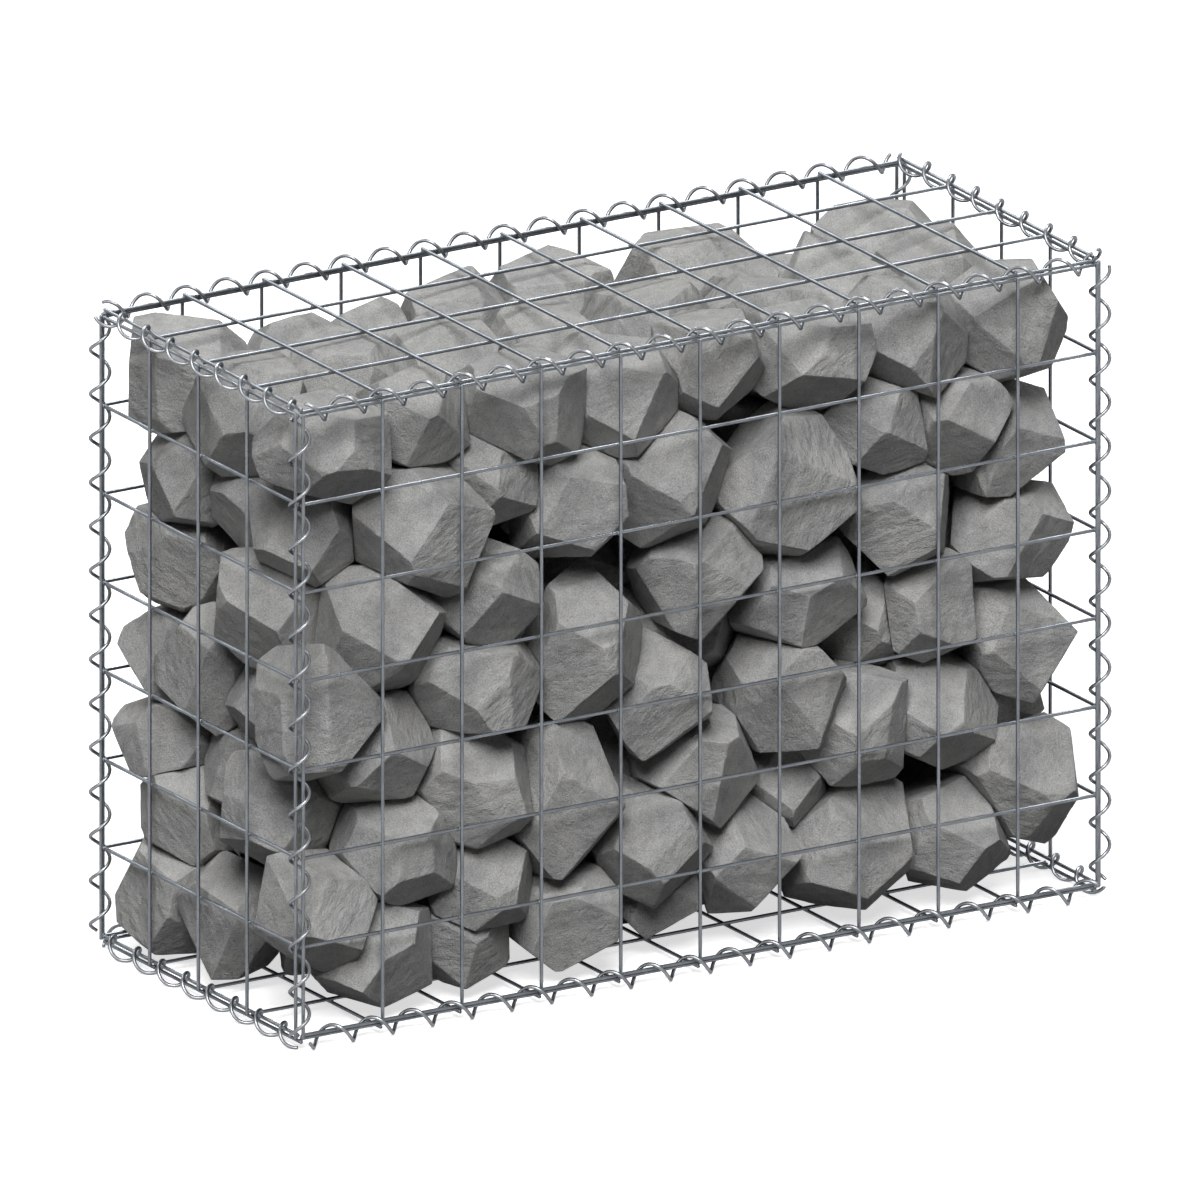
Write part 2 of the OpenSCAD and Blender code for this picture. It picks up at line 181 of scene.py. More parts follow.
class StageSettings(bpy.types.PropertyGroup):
    """Camera, light and floor"""

    azimuth: FloatProperty(
        name="Camera azimuth", description="Turn of the camera from straight in front",
        default=math.radians(-31.5), subtype="ANGLE")
    elevation: FloatProperty(
        name="Camera elevation", description="Height of the camera above the horizon",
        default=math.radians(18.2), subtype="ANGLE")
    frame_width: FloatProperty(
        name="Frame width", description="Width of the view across the object",
        default=1.2888, min=0.1, unit="LENGTH")
    key_azimuth: FloatProperty(
        name="Key azimuth", description="Turn of the main light from straight in front",
        default=math.radians(-36), subtype="ANGLE")
    key_elevation: FloatProperty(
        name="Key elevation", description="Height of the main light above the horizon",
        default=math.radians(50), subtype="ANGLE")
    key_strength: FloatProperty(
        name="Key strength", description="Strength of the main light", default=3.50, min=0.0)
    key_spread: FloatProperty(
        name="Key spread",
        description="Angle that the main light spans, which softens its shadows",
        default=math.radians(32), subtype="ANGLE")
    top_azimuth: FloatProperty(
        name="Top azimuth", description="Turn of the upper light from straight in front",
        default=math.radians(118), subtype="ANGLE")
    top_elevation: FloatProperty(
        name="Top elevation", description="Height of the upper light above the horizon",
        default=math.radians(55), subtype="ANGLE")
    top_strength: FloatProperty(
        name="Top strength", description="Strength of the upper light", default=0.44, min=0.0)
    top_spread: FloatProperty(
        name="Top spread", description="Angle that the upper light spans",
        default=math.radians(28), subtype="ANGLE")
    top_gleam: FloatProperty(
        name="Top gleam", description="Extra strength of the upper light in reflections",
        default=3.0, min=0.0)
    back_azimuth: FloatProperty(
        name="Back azimuth", description="Turn of the rear light from straight in front",
        default=math.radians(-178), subtype="ANGLE")
    back_elevation: FloatProperty(
        name="Back elevation", description="Height of the rear light above the horizon",
        default=math.radians(38), subtype="ANGLE")
    back_strength: FloatProperty(
        name="Back strength", description="Strength of the rear light", default=0.55, min=0.0)
    back_spread: FloatProperty(
        name="Back spread", description="Angle that the rear light spans",
        default=math.radians(28), subtype="ANGLE")
    back_gleam: FloatProperty(
        name="Back gleam", description="Extra strength of the rear light in reflections",
        default=1.3, min=0.0)
    side_azimuth: FloatProperty(
        name="Side azimuth", description="Turn of the side light from straight in front",
        default=math.radians(-62), subtype="ANGLE")
    side_elevation: FloatProperty(
        name="Side elevation", description="Height of the side light above the horizon",
        default=math.radians(24), subtype="ANGLE")
    side_strength: FloatProperty(
        name="Side strength", description="Strength of the side light", default=0.03, min=0.0)
    side_spread: FloatProperty(
        name="Side spread", description="Angle that the side light spans",
        default=math.radians(38), subtype="ANGLE")
    side_gleam: FloatProperty(
        name="Side gleam", description="Extra strength of the side light in reflections",
        default=1.4, min=0.0)
    fill_azimuth: FloatProperty(
        name="Fill azimuth", description="Turn of the fill light from straight in front",
        default=math.radians(120), subtype="ANGLE")
    fill_elevation: FloatProperty(
        name="Fill elevation", description="Height of the fill light above the horizon",
        default=math.radians(15), subtype="ANGLE")
    fill_strength: FloatProperty(
        name="Fill strength", description="Strength of the fill light on the far sides",
        default=0.90, min=0.0)
    fill_spread: FloatProperty(
        name="Fill spread", description="Angle that the fill light spans",
        default=math.radians(50), subtype="ANGLE")
    ambient: FloatProperty(
        name="Ambient", description="Strength of the light from all round", default=0.03, min=0.0)


# Meshes


def mesh_object(name, points, quads, triangles=(), fields=None):
    """Make a smooth-shaded object from arrays of points and of faces' point numbers.

    fields gives the values of named attributes at the points, one number or three each.
    """
    quads = np.asarray(quads, np.int32).reshape(-1, 4)
    triangles = np.asarray(triangles, np.int32).reshape(-1, 3)
    corners = np.concatenate([quads.ravel(), triangles.ravel()])
    starts = np.concatenate(
        [np.arange(len(quads)) * 4, quads.size + np.arange(len(triangles)) * 3])
    mesh = bpy.data.meshes.new(name)
    mesh.vertices.add(len(points))
    mesh.vertices.foreach_set("co", np.asarray(points, np.float32).ravel())
    mesh.loops.add(len(corners))
    mesh.loops.foreach_set("vertex_index", corners)
    mesh.polygons.add(len(starts))
    mesh.polygons.foreach_set("loop_start", starts.astype(np.int32))
    mesh.polygons.foreach_set("use_smooth", np.ones(len(starts), bool))
    mesh.update(calc_edges=True)
    for label, values in (fields or {}).items():
        values = np.asarray(values, np.float32)
        vector = values.ndim == 2
        layer = mesh.attributes.new(label, "FLOAT_VECTOR" if vector else "FLOAT", "POINT")
        layer.data.foreach_set("vector" if vector else "value", values.ravel())
    if mesh.validate():
        raise ValueError(f"{name} has a broken face")
    piece = bpy.data.objects.new(name, mesh)
    bpy.context.scene.collection.objects.link(piece)
    return piece


def stand_for(piece, node, material):
    """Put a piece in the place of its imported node, with its finish."""
    piece.data.materials.append(material)
    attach(piece, "root")
    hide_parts(node)


def grid_quads(rows, columns):
    """Quads of a grid of points, numbered row by row, that closes on itself along its columns."""
    row = np.arange(rows - 1)[:, None] * columns
    here = np.arange(columns)[None, :]
    ahead = (here + 1) % columns
    return np.stack([row + here, row + ahead, row + columns + ahead, row + columns + here], -1)


def join(shapes):
    """Stack shapes given as points, quads and triangles, with the point numbers moved on."""
    first = np.cumsum([0] + [len(points) for points, _, _ in shapes[:-1]])
    points = np.concatenate([shape[0] for shape in shapes])
    quads = np.concatenate([shape[1].reshape(-1, 4) + n for shape, n in zip(shapes, first)])
    triangles = np.concatenate([shape[2].reshape(-1, 3) + n for shape, n in zip(shapes, first)])
    return points, quads, triangles


# Stones

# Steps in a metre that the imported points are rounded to, to join those at one place
JOIN_STEPS = 1e5
# Triangles are in one plane whose normals have this cosine and whose planes are this close
SAME_NORMAL = 0.99998
SAME_PLANE = 4e-5
# Twice the area, in square metres, below which a face is a sliver and is left out, and one that
# is safe to divide by
SLIVER = 2e-7
TINY = 1e-12
# Rings of points that carry a worn edge: their distances inside a face's border, up to a
# share of the face's radius
EDGE_RINGS = (0.0005, 0.0014, 0.0040)
EDGE_RINGS_END = 0.6
# Number of waves in a ripple, and the shortest and longest as shares of its length
RIPPLE_WAVES = 14
RIPPLE_SPAN = (0.6, 1.7)
# Furthest that the grain of a stone is shifted, so that no two stones are alike
GRAIN_SHIFT = 5.0
# Chips of an edge: the length of their ripple, and where in it they start and how far they rise
CHIP_LENGTH = 0.021
CHIP_START = 0.7
CHIP_RISE = 1.3
# The squared slope at a worn corner counts as at least this in the step to the worn surface
LEAST_SLOPE = 0.15
# Small hollows inside the large ones, as shares of their depth and length, and the contrast
# of both
SMALL_DEPTH = 0.45
SMALL_LENGTH = 0.4
HOLLOW_CONTRAST = 0.8


def solids_of(node):
    """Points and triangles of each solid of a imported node, its loose triangles joined by place."""
    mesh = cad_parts[node].data
    places = np.zeros(len(mesh.vertices) * 3)
    mesh.vertices.foreach_get("co", places)
    mesh.calc_loop_triangles()
    triangles = np.zeros(len(mesh.loop_triangles) * 3, np.int32)
    mesh.loop_triangles.foreach_get("vertices", triangles)
    places = places.reshape(-1, 3)
    _, first, same = np.unique(
        np.round(places * JOIN_STEPS), axis=0, return_index=True, return_inverse=True)
    points = places[first]
    triangles = same.ravel()[triangles.reshape(-1, 3)]
    whole = (triangles != np.roll(triangles, 1, axis=1)).all(axis=1)
    triangles = triangles[whole]
    label = np.arange(len(points))
    while True:
        lowest = label[triangles].min(axis=1)
        spread = label.copy()
        np.minimum.at(spread, triangles.ravel(), np.repeat(lowest, 3))
        if (spread == label).all():
            break
        label = spread
    solids = []
    for solid in np.unique(label[triangles]):
        mine = triangles[label[triangles[:, 0]] == solid]
        used, numbers = np.unique(mine, return_inverse=True)
        solids.append((points[used], numbers.reshape(-1, 3)))
    return solids


def broken_faces(points, triangles):
    """Flat faces of a stone: their planes, and each one's corners in turn and its middle.

    Triangles that lie in one plane make one face. A face of a convex stone is convex, so
    its corners are put in order by their bearing from its middle.
    """
    corner = points[triangles]
    across = np.cross(corner[:, 1] - corner[:, 0], corner[:, 2] - corner[:, 0])
    twice_area = np.linalg.norm(across, axis=1)
    out = across / np.maximum(twice_area, TINY)[:, None]
    far = (out * corner[:, 0]).sum(axis=1)
    alike = (out @ out.T > SAME_NORMAL) & (np.abs(far[:, None] - far) < SAME_PLANE)
    plane_of = alike.argmax(axis=1)
    normals, offsets, faces = [], [], []
    for plane in np.unique(plane_of):
        mine = plane_of == plane
        if twice_area[mine].sum() < SLIVER:
            continue
        normal = across[mine].sum(axis=0)
        normal /= np.linalg.norm(normal)
        share = twice_area[mine] / twice_area[mine].sum()
        middle = (corner[mine].mean(axis=1) * share[:, None]).sum(axis=0)
        numbers = np.unique(triangles[mine])
        spoke = points[numbers] - middle
        right = spoke[0] - normal * (spoke[0] @ normal)
        bearing = np.arctan2(spoke @ np.cross(normal, right), spoke @ right)
        normals.append(normal)
        offsets.append(normal @ middle)
        faces.append((numbers[np.argsort(bearing)], middle))
    return np.array(normals), np.array(offsets), faces


def ring_shares(radius, step):
    """Shares of the way out from a face's middle at which its rings of points lie.

    Three rings stand close inside the border, where the edge is rounded, and the rest are
    evenly spread to the middle.
    """
    close = [1 - inset / radius for inset in EDGE_RINGS if inset < EDGE_RINGS_END * radius]
    last = close[-1] if close else 1.0
    more = max(1, round(radius * last / step))
    return np.array(close + list(np.linspace(last, 0, more + 1)[1:-1]))


def face_grids(points, faces, step):
    """A stone's surface as one polar grid over each of its faces.

    The first parameter runs round the face's border, in steps along each edge that both of
    the edge's faces share. The second runs from the border to the middle: point = middle +
    share x (border point - middle).
    """
    places, count = [points], len(points)
    edge_points = {}
    quads, triangles = [], []
    for corners, middle in faces:
        border = []
        for a, b in zip(corners, np.roll(corners, -1)):
            low, high = min(a, b), max(a, b)
            if (low, high) not in edge_points:
                run = points[high] - points[low]
                steps = max(1, round(float(np.linalg.norm(run)) / step))
                along = np.arange(1, steps) / steps
                edge_points[low, high] = np.arange(count, count + steps - 1)
                places.append(points[low] + along[:, None] * run)
                count += steps - 1
            between = edge_points[low, high]
            border += [[a], between if a == low else between[::-1]]
        border = np.concatenate(border).astype(int)
        edge = np.concatenate(places)[border]
        side = np.roll(edge, -1, axis=0) - edge
        gap = np.cross(middle - edge, side)
        radius = (np.linalg.norm(gap, axis=1) / np.linalg.norm(side, axis=1)).min()
        shares = ring_shares(radius, step)
        rings = middle + shares[:, None, None] * (edge - middle)
        inner = count + np.arange(rings.shape[0] * len(border)).reshape(-1, len(border))
        centre = count + inner.size
        places += [rings.reshape(-1, 3), middle[None]]
        count = centre + 1
        numbers = np.concatenate([border[None], inner])
        outer, ahead = numbers[:-1], np.roll(numbers[:-1], -1, axis=1)
        inside, inside_ahead = numbers[1:], np.roll(numbers[1:], -1, axis=1)
        quads.append(np.stack([outer, ahead, inside_ahead, inside], -1).reshape(-1, 4))
        last = numbers[-1]
        triangles.append(
            np.stack([last, np.roll(last, -1), np.full(len(last), centre)], -1))
    return np.concatenate(places), np.concatenate(quads), np.concatenate(triangles)


def ripple(points, length, draw):
    """Smooth noise of mean 0 and spread 1: a sum of sine waves of like length, in drawn ways."""
    ways = draw.normal(size=(RIPPLE_WAVES, 3))
    ways /= np.linalg.norm(ways, axis=1)[:, None]
    lengths = length * draw.uniform(*RIPPLE_SPAN, RIPPLE_WAVES)
    phases = draw.uniform(0, 2 * np.pi, RIPPLE_WAVES)
    sines = np.sin(points @ (2 * np.pi * ways / lengths[:, None]).T + phases)
    return sines.sum(axis=1) * math.sqrt(2 / RIPPLE_WAVES)


def turned(points, draw):
    """Points seen in a stone's own drawn bearing, for the grain of its material."""
    ways, _ = np.linalg.qr(draw.normal(size=(3, 3)))
    return points @ ways + draw.uniform(-GRAIN_SHIFT, GRAIN_SHIFT, 3)


def rough_stone(points, triangles, settings, draw):
    """One stone with worn edges and hollowed faces, inside the flat-faced solid.

    With h the depth of a point below each face's plane and r the local edge wear, the worn
    surface is where -r log(sum(exp(-h / r))) is 0, reached by a step along its slope. The
    hollows then sink it by a smooth noise between 0 and the lump depth.
    """
    normals, offsets, faces = broken_faces(points, triangles)
    places, quads, fans = face_grids(points, faces, settings.grid_step)
    chips = np.clip(ripple(places, CHIP_LENGTH, draw) - CHIP_START, 0, CHIP_RISE) / CHIP_RISE
    wear = (settings.edge_wear + settings.chip_depth * chips ** 2)[:, None]
    depth = np.maximum(offsets - places @ normals.T, 0)
    closeness = np.exp(-depth / wear)
    total = closeness.sum(axis=1)
    lean = (closeness / total[:, None]) @ normals
    steepness = (lean ** 2).sum(axis=1)
    cut = wear[:, 0] * np.log(total) / np.maximum(steepness, LEAST_SLOPE)
    hollow = ripple(places, settings.lump_length, draw) + SMALL_DEPTH * ripple(
        places, SMALL_LENGTH * settings.lump_length, draw)
    sink = settings.lump_depth * (0.5 + 0.5 * np.tanh(HOLLOW_CONTRAST * hollow))
    surface = places - lean * (cut + sink / np.sqrt(steepness))[:, None]
    fields = {
        "edge_wear": np.clip(np.log(total) / math.log(2), 0, 1),
        "tone": np.full(len(places), draw.uniform(-1, 1)),
        "bedding": turned(places, draw),
    }
    return (surface, quads, fans), fields


class GABION_OT_stones(bpy.types.Operator):
    """Lay the rough stones, one piece for each row of a course"""

    bl_idname = "gabion.stones"
    bl_label = "Lay stones"

    def execute(self, context):
        settings = context.scene.gabion_stones
        material = stone_material(settings)
        for row, node in enumerate(STONE_ROWS):
            draw = np.random.default_rng([settings.seed, row])
            laid = [rough_stone(points, triangles, settings, draw)
                    for points, triangles in solids_of(node)]
            if not laid:
                raise ValueError(f"{node} holds no stone")
            fields = {name: np.concatenate([each[name] for _, each in laid])
                      for name in laid[0][1]}
            piece = mesh_object(f"rough_{node}", *join([shape for shape, _ in laid]), fields)
            stand_for(piece, node, material)
        return {"FINISHED"}


# Wires

# A sheared wire's end, ring by ring: distance from the end in radii, and share of the radius
CUT_END = np.array([(0.0, 0.62), (0.14, 0.90), (0.5, 1.0), (1.2, 1.0)])
# A weld bead: points round it, rings between its poles, and its rise as a share of the wire's
# radius
BEAD_SIDES = 10
BEAD_RINGS = 5
BEAD_RISE = 0.6


def end_caps(rings, sides):
    """Triangles from a grid's first and last row to the two points that follow the grid."""
    here = np.arange(sides)
    ahead = (here + 1) % sides
    last = (rings - 1) * sides
    return np.concatenate([
        np.stack([ahead, here, np.full(sides, rings * sides)], -1),
        np.stack([last + here, last + ahead, np.full(sides, rings * sides + 1)], -1)])


def tube(middles, out, across, radii):
    """A profile carried along a path, closed by a point at each end.

    point = middle + radius x (cos(b) x out + sin(b) x across), for the angle b round the wire.
    middles has one row for each ring, and out, across and radii follow it.
    """
    rings, sides = radii.shape
    angle = np.arange(sides) * 2 * np.pi / sides
    ring = middles[:, None] + radii[:, :, None] * (
        np.cos(angle)[:, None] * out[:, None] + np.sin(angle)[:, None] * across[:, None])
    points = np.concatenate([ring.reshape(-1, 3), middles[[0, -1]]])
    return points, grid_quads(rings, sides), end_caps(rings, sides)


def straight_wire(start, end, radius, sides):
    """A straight round wire with sheared ends: a circle along a line, drawn in at the ends."""
    start, end = np.array(start), np.array(end)
    length = np.linalg.norm(end - start)
    ahead = (end - start) / length
    out = np.roll(np.abs(ahead).round(), 1)
    across = np.cross(ahead, out)
    inset, share = CUT_END.T
    along = np.concatenate([inset * radius, length - inset[::-1] * radius])
    radii = np.concatenate([share, share[::-1]])[:, None] * np.full(sides, radius)
    rings = len(along)
    return tube(start + along[:, None] * ahead, np.tile(out, (rings, 1)),
                np.tile(across, (rings, 1)), radii)


def weld_beads(centres, reach, rise, flat_axis):
    """Flat beads where wires cross: point = centre + half-axes x point of a unit sphere's grid."""
    angle = np.arange(BEAD_SIDES) * 2 * np.pi / BEAD_SIDES
    polar = np.arange(1, BEAD_RINGS + 1) * np.pi / (BEAD_RINGS + 1)
    ball = np.stack([
        np.outer(np.sin(polar), np.cos(angle)),
        np.outer(np.sin(polar), np.sin(angle)),
        np.repeat(-np.cos(polar)[:, None], BEAD_SIDES, 1)], -1).reshape(-1, 3)
    ball = np.concatenate([ball, [(0, 0, -1), (0, 0, 1)]]) * (reach, reach, rise)
    ball = np.roll(ball, flat_axis + 1, axis=1)
    points = centres[:, None] + ball
    first = np.arange(len(centres))[:, None, None] * len(ball)
    quads = grid_quads(BEAD_RINGS, BEAD_SIDES).reshape(1, -1, 4) + first
    caps = end_caps(BEAD_RINGS, BEAD_SIDES) + first
    return points.reshape(-1, 3), quads.reshape(-1, 4), caps.reshape(-1, 3)


def panel_shape(node, settings):
    """Both layers of a welded panel's wires and its weld beads, set out from the node's box."""
    flat, inner_way, outer_way = PANEL_AXES[node]
    low, high = (np.array(corner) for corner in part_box(node))
    radius = settings.wire_d / 2
    centre = (np.array(CAD_BOX[0]) + np.array(CAD_BOX[1])) / 2
    outward = 1 if low[flat] > centre[flat] else -1
    near, far = (low, high) if outward > 0 else (high, low)
    layers = near[flat] + outward * radius, far[flat] - outward * radius

    def stations(axis, margin):
        first, last = low[axis] + margin, high[axis] - margin
        return np.linspace(first, last, round((last - first) / settings.pitch) + 1)

    outer_places = stations(inner_way, radius)
    inner_places = stations(outer_way, settings.overhang)

    def place(flat_at, inner_at, outer_at):
        point = np.zeros(3)
        point[[flat, inner_way, outer_way]] = flat_at, inner_at, outer_at
        return point

    inner_ends = [(place(layers[0], outer_places[0], at), place(layers[0], outer_places[-1], at))
                  for at in inner_places]
    outer_ends = [(place(layers[1], at, low[outer_way]), place(layers[1], at, high[outer_way]))
                  for at in outer_places]
    shapes = [straight_wire(start, end, radius, settings.sides)
              for start, end in inner_ends + outer_ends]
    crossings = np.array([place(sum(layers) / 2, outer_at, inner_at)
                          for outer_at in outer_places for inner_at in inner_places])
    shapes.append(weld_beads(crossings, settings.weld_reach, BEAD_RISE * radius, flat))
    return join(shapes)


class GABION_OT_panels(bpy.types.Operator):
    """Weld the six mesh panels"""

    bl_idname = "gabion.panels"
    bl_label = "Weld panels"

    def execute(self, context):
        settings = context.scene.gabion_panels
        material = zinc_material("mesh_zinc", settings)
        for node in PANEL_AXES:
            piece = mesh_object(f"welded_{node}", *panel_shape(node, settings))
            stand_for(piece, node, material)
        return {"FINISHED"}


def spiral_shape(node, settings):
    """A spiral binder: a circle carried along a right-handed helix.

    middle = axis + radius x out(turn) + pitch x turn / full turn along the axis, where out
    turns round the axis. The turn at height 0 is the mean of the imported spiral's own.
    """
    low, high = (np.array(corner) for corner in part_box(node))
    axis = int(np.argmax(high - low))
    ways = np.roll(np.eye(3), -axis - 1, axis=0)
    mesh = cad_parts[node].data
    places = np.zeros(len(mesh.vertices) * 3)
    mesh.vertices.foreach_get("co", places)
    centre = (low + high) / 2
    local = (places.reshape(-1, 3) - centre) @ ways.T
    rate = 2 * np.pi / settings.pitch
    turns = np.arctan2(local[:, 1], local[:, 0]) - rate * local[:, 2]
    turn = np.angle(np.exp(1j * turns).mean())
    wire_r = settings.wire_d / 2
    radius = np.delete(high - low, axis).min() / 2 - wire_r
    slope = np.array([radius, 1 / rate]) / math.hypot(radius, 1 / rate)
    half = (high - low)[axis] / 2 - wire_r * slope[0]
    inset, share = CUT_END.T
    ends = half - inset * wire_r * slope[1]
    rings = round(2 * ends[-1] / settings.pitch * settings.steps)
    between = np.linspace(-ends[-1], ends[-1], rings + 1)[1:-1]
    height = np.concatenate([-ends, between, ends[::-1]])
    shares = np.concatenate([share, np.ones(rings - 1), share[::-1]])
    angle = turn + rate * height
    level = np.zeros(len(angle))
    out = np.stack([np.cos(angle), np.sin(angle), level], -1)
    ahead = np.stack([-np.sin(angle) * slope[0], np.cos(angle) * slope[0], level + slope[1]], -1)
    middles = radius * out + height[:, None] * (0, 0, 1)
    radii = shares[:, None] * np.full(settings.sides, wire_r)
    points, quads, caps = tube(middles, out, np.cross(ahead, out), radii)
    return points @ ways + centre, quads, caps


class GABION_OT_spirals(bpy.types.Operator):
    """Wind the twelve spiral binders"""

    bl_idname = "gabion.spirals"
    bl_label = "Wind spirals"

    def execute(self, context):
        settings = context.scene.gabion_spirals
        material = zinc_material("spiral_zinc", settings)
        for node in SPIRALS:
            piece = mesh_object(f"wound_{node}", *spiral_shape(node, settings))
            stand_for(piece, node, material)
        return {"FINISHED"}


# Materials

WHITE = (1, 1, 1, 1)
# Masks of cloudy patches: waves in a metre along each axis, levels of detail, and the two noise
# values that become 0 and 1
ZINC_MASKS = {
    "bloom": ((38, 38, 38), 5.0, 0.38, 0.66),
    "fine": ((900, 900, 900), 2.0, 0.3, 0.7),
}
STONE_MASKS = {
    "clouds": ((17, 17, 17), 6.0, 0.36, 0.64),
    "mottle": ((75, 75, 75), 5.0, 0.34, 0.66),
    "grain": ((620, 620, 620), 3.0, 0.32, 0.68),
    "dents": ((42, 48, 85), 6.0, 0.25, 0.75),
    "chisel": ((120, 140, 220), 4.0, 0.30, 0.70),
}
# Cells in a metre of the zinc's crystals and of the stone's pits, and the distances from a cell's
# middle between which a pit runs out
CRYSTAL_SCALE = 420.0
PIT_SCALE = 170.0
PIT_SPAN = (0.08, 0.24)
# Shares of the masks in how dull the zinc is, how rough it is and how it is raised
DULL_CRYSTALS = 0.35
DULL_BLOOM = 0.65
DULL_ROUGHNESS = 0.16
FINE_HEIGHT = 0.5
# Brightness of the stone without its masks, and each mask's share in its brightness and its relief
STONE_LEVEL = 0.65
# The pit share is painted shade: it darkens the small sunken pits, where shade would fall
STONE_TONES = {
    "clouds": 0.10, "mottle": 0.16, "grain": 0.42, "tone": 0.06, "worn": 0.05, "pit": -0.10}
STONE_RELIEF = {"chisel": 0.22, "grain": 0.20, "pit": -0.12}
# Roughness of the stone, and the share that its grain adds
STONE_ROUGHNESS = 0.80
GRAIN_ROUGHNESS = 0.12
# Strength and depth of the relief
ZINC_BUMP = {"Strength": 0.25, "Distance": 0.0002}
STONE_BUMP = {"Strength": 0.8, "Distance": 0.0028}
# Gloss of the stone, on the shader's own scale
STONE_GLOSS = 0.08


def add(tree, kind, **inputs):
    """Add a node and set its sockets: a value is written in, and an output socket is linked."""
    made = tree.nodes.new(kind)
    for name, value in inputs.items():
        socket = made.inputs[name.replace("_", " ")]
        if isinstance(value, bpy.types.NodeSocket):
            tree.links.new(value, socket)
        else:
            socket.default_value = value
    return made


def maths(tree, operation, *values):
    """Add a Math node over values or output sockets, and give its output."""
    made = tree.nodes.new("ShaderNodeMath")
    made.operation = operation
    for socket, value in zip(made.inputs, values):
        if isinstance(value, bpy.types.NodeSocket):
            tree.links.new(value, socket)
        else:
            socket.default_value = value
    return made.outputs[0]


def layered(tree, base, *layers):
    """Add nodes for base + sum(mask x share) over pairs of mask and share, and give the output."""
    total = base
    for mask, share in layers:
        total = maths(tree, "MULTIPLY_ADD", mask, share, total)
    return total


def blended(tree, share, a, b, blend_type="MIX"):
    """Add a colour Mix node, and give its result."""
    made = tree.nodes.new("ShaderNodeMix")
    made.data_type, made.blend_type = "RGBA", blend_type
    for name, value in (("Factor_Float", share), ("A_Color", a), ("B_Color", b)):
        socket = next(s for s in made.inputs if s.identifier == name)
        if isinstance(value, bpy.types.NodeSocket):
            tree.links.new(value, socket)
        else:
            socket.default_value = value
    return next(s for s in made.outputs if s.identifier == "Result_Color")


def colour(rgb):
    """A colour setting as a socket's four numbers."""
    return (*rgb, 1.0)


def new_group(name, inputs, outputs):
    """Start a node group with named sockets, and give its tree, input node and output node."""
    tree = bpy.data.node_groups.new(name, "ShaderNodeTree")
    for label, kind in inputs:
        tree.interface.new_socket(label, in_out="INPUT", socket_type=kind)
    for label, kind in outputs:
        tree.interface.new_socket(label, in_out="OUTPUT", socket_type=kind)
    return tree, tree.nodes.new("NodeGroupInput"), tree.nodes.new("NodeGroupOutput")


def patches_group():
    """Cloudy patches: noise stretched by a scale for each axis, with its contrast drawn out."""
    name = "patches"
    if name in bpy.data.node_groups:
        return bpy.data.node_groups[name]
    tree, given, put = new_group(
        name,
        [("Vector", "NodeSocketVector"), ("Scale", "NodeSocketVector"),
         ("Detail", "NodeSocketFloat"), ("Low", "NodeSocketFloat"), ("High", "NodeSocketFloat")],
        [("Mask", "NodeSocketFloat")])
    scaled = tree.nodes.new("ShaderNodeVectorMath")
    scaled.operation = "MULTIPLY"
    tree.links.new(given.outputs["Vector"], scaled.inputs[0])
    tree.links.new(given.outputs["Scale"], scaled.inputs[1])
    noise = add(tree, "ShaderNodeTexNoise", Vector=scaled.outputs[0], Scale=1.0,
                Detail=given.outputs["Detail"])
    spread = add(tree, "ShaderNodeMapRange", Value=noise.outputs["Fac"],
                 From_Min=given.outputs["Low"], From_Max=given.outputs["High"])
    tree.links.new(spread.outputs["Result"], put.inputs["Mask"])
    return tree


def patches(tree, vector, scale, detail, low, high):
    """Place the patches group in a material, and give its mask."""
    made = tree.nodes.new("ShaderNodeGroup")
    made.node_tree = patches_group()
    tree.links.new(vector, made.inputs["Vector"])
    made.inputs["Scale"].default_value = scale
    made.inputs["Detail"].default_value = detail
    made.inputs["Low"].default_value = low
    made.inputs["High"].default_value = high
    return made.outputs["Mask"]


def zinc_bloom_group():
    """Zinc skin: small crystals of unlike brightness under a dull bloom in cloudy patches."""
    name = "zinc_bloom"
    if name in bpy.data.node_groups:
        return bpy.data.node_groups[name]
    tree, given, put = new_group(
        name,
        [("Vector", "NodeSocketVector"), ("Bright", "NodeSocketColor"),
         ("Dull", "NodeSocketColor"), ("Roughness", "NodeSocketFloat")],
        [("Color", "NodeSocketColor"), ("Roughness", "NodeSocketFloat"),
         ("Height", "NodeSocketFloat")])
    vector = given.outputs["Vector"]
    crystals = add(tree, "ShaderNodeTexVoronoi", Vector=vector, Scale=CRYSTAL_SCALE)
    glint = add(tree, "ShaderNodeSeparateColor", Color=crystals.outputs["Color"])
    bloom, fine = (patches(tree, vector, *values) for values in ZINC_MASKS.values())
    dull = layered(tree, maths(tree, "MULTIPLY", bloom, DULL_BLOOM),
                   (glint.outputs[0], DULL_CRYSTALS))
    skin = blended(tree, dull, given.outputs["Bright"], given.outputs["Dull"])
    tree.links.new(skin, put.inputs["Color"])
    rough = layered(tree, given.outputs["Roughness"], (dull, DULL_ROUGHNESS))
    tree.links.new(rough, put.inputs["Roughness"])
    tree.links.new(layered(tree, bloom, (fine, FINE_HEIGHT)), put.inputs["Height"])
    return tree


def new_material(name):
    """Start a material, and give it with its tree and its shader."""
    material = bpy.data.materials.new(name)
    material.use_nodes = True
    tree = material.node_tree
    shader = next(n for n in tree.nodes if n.type == "BSDF_PRINCIPLED")
    return material, tree, shader


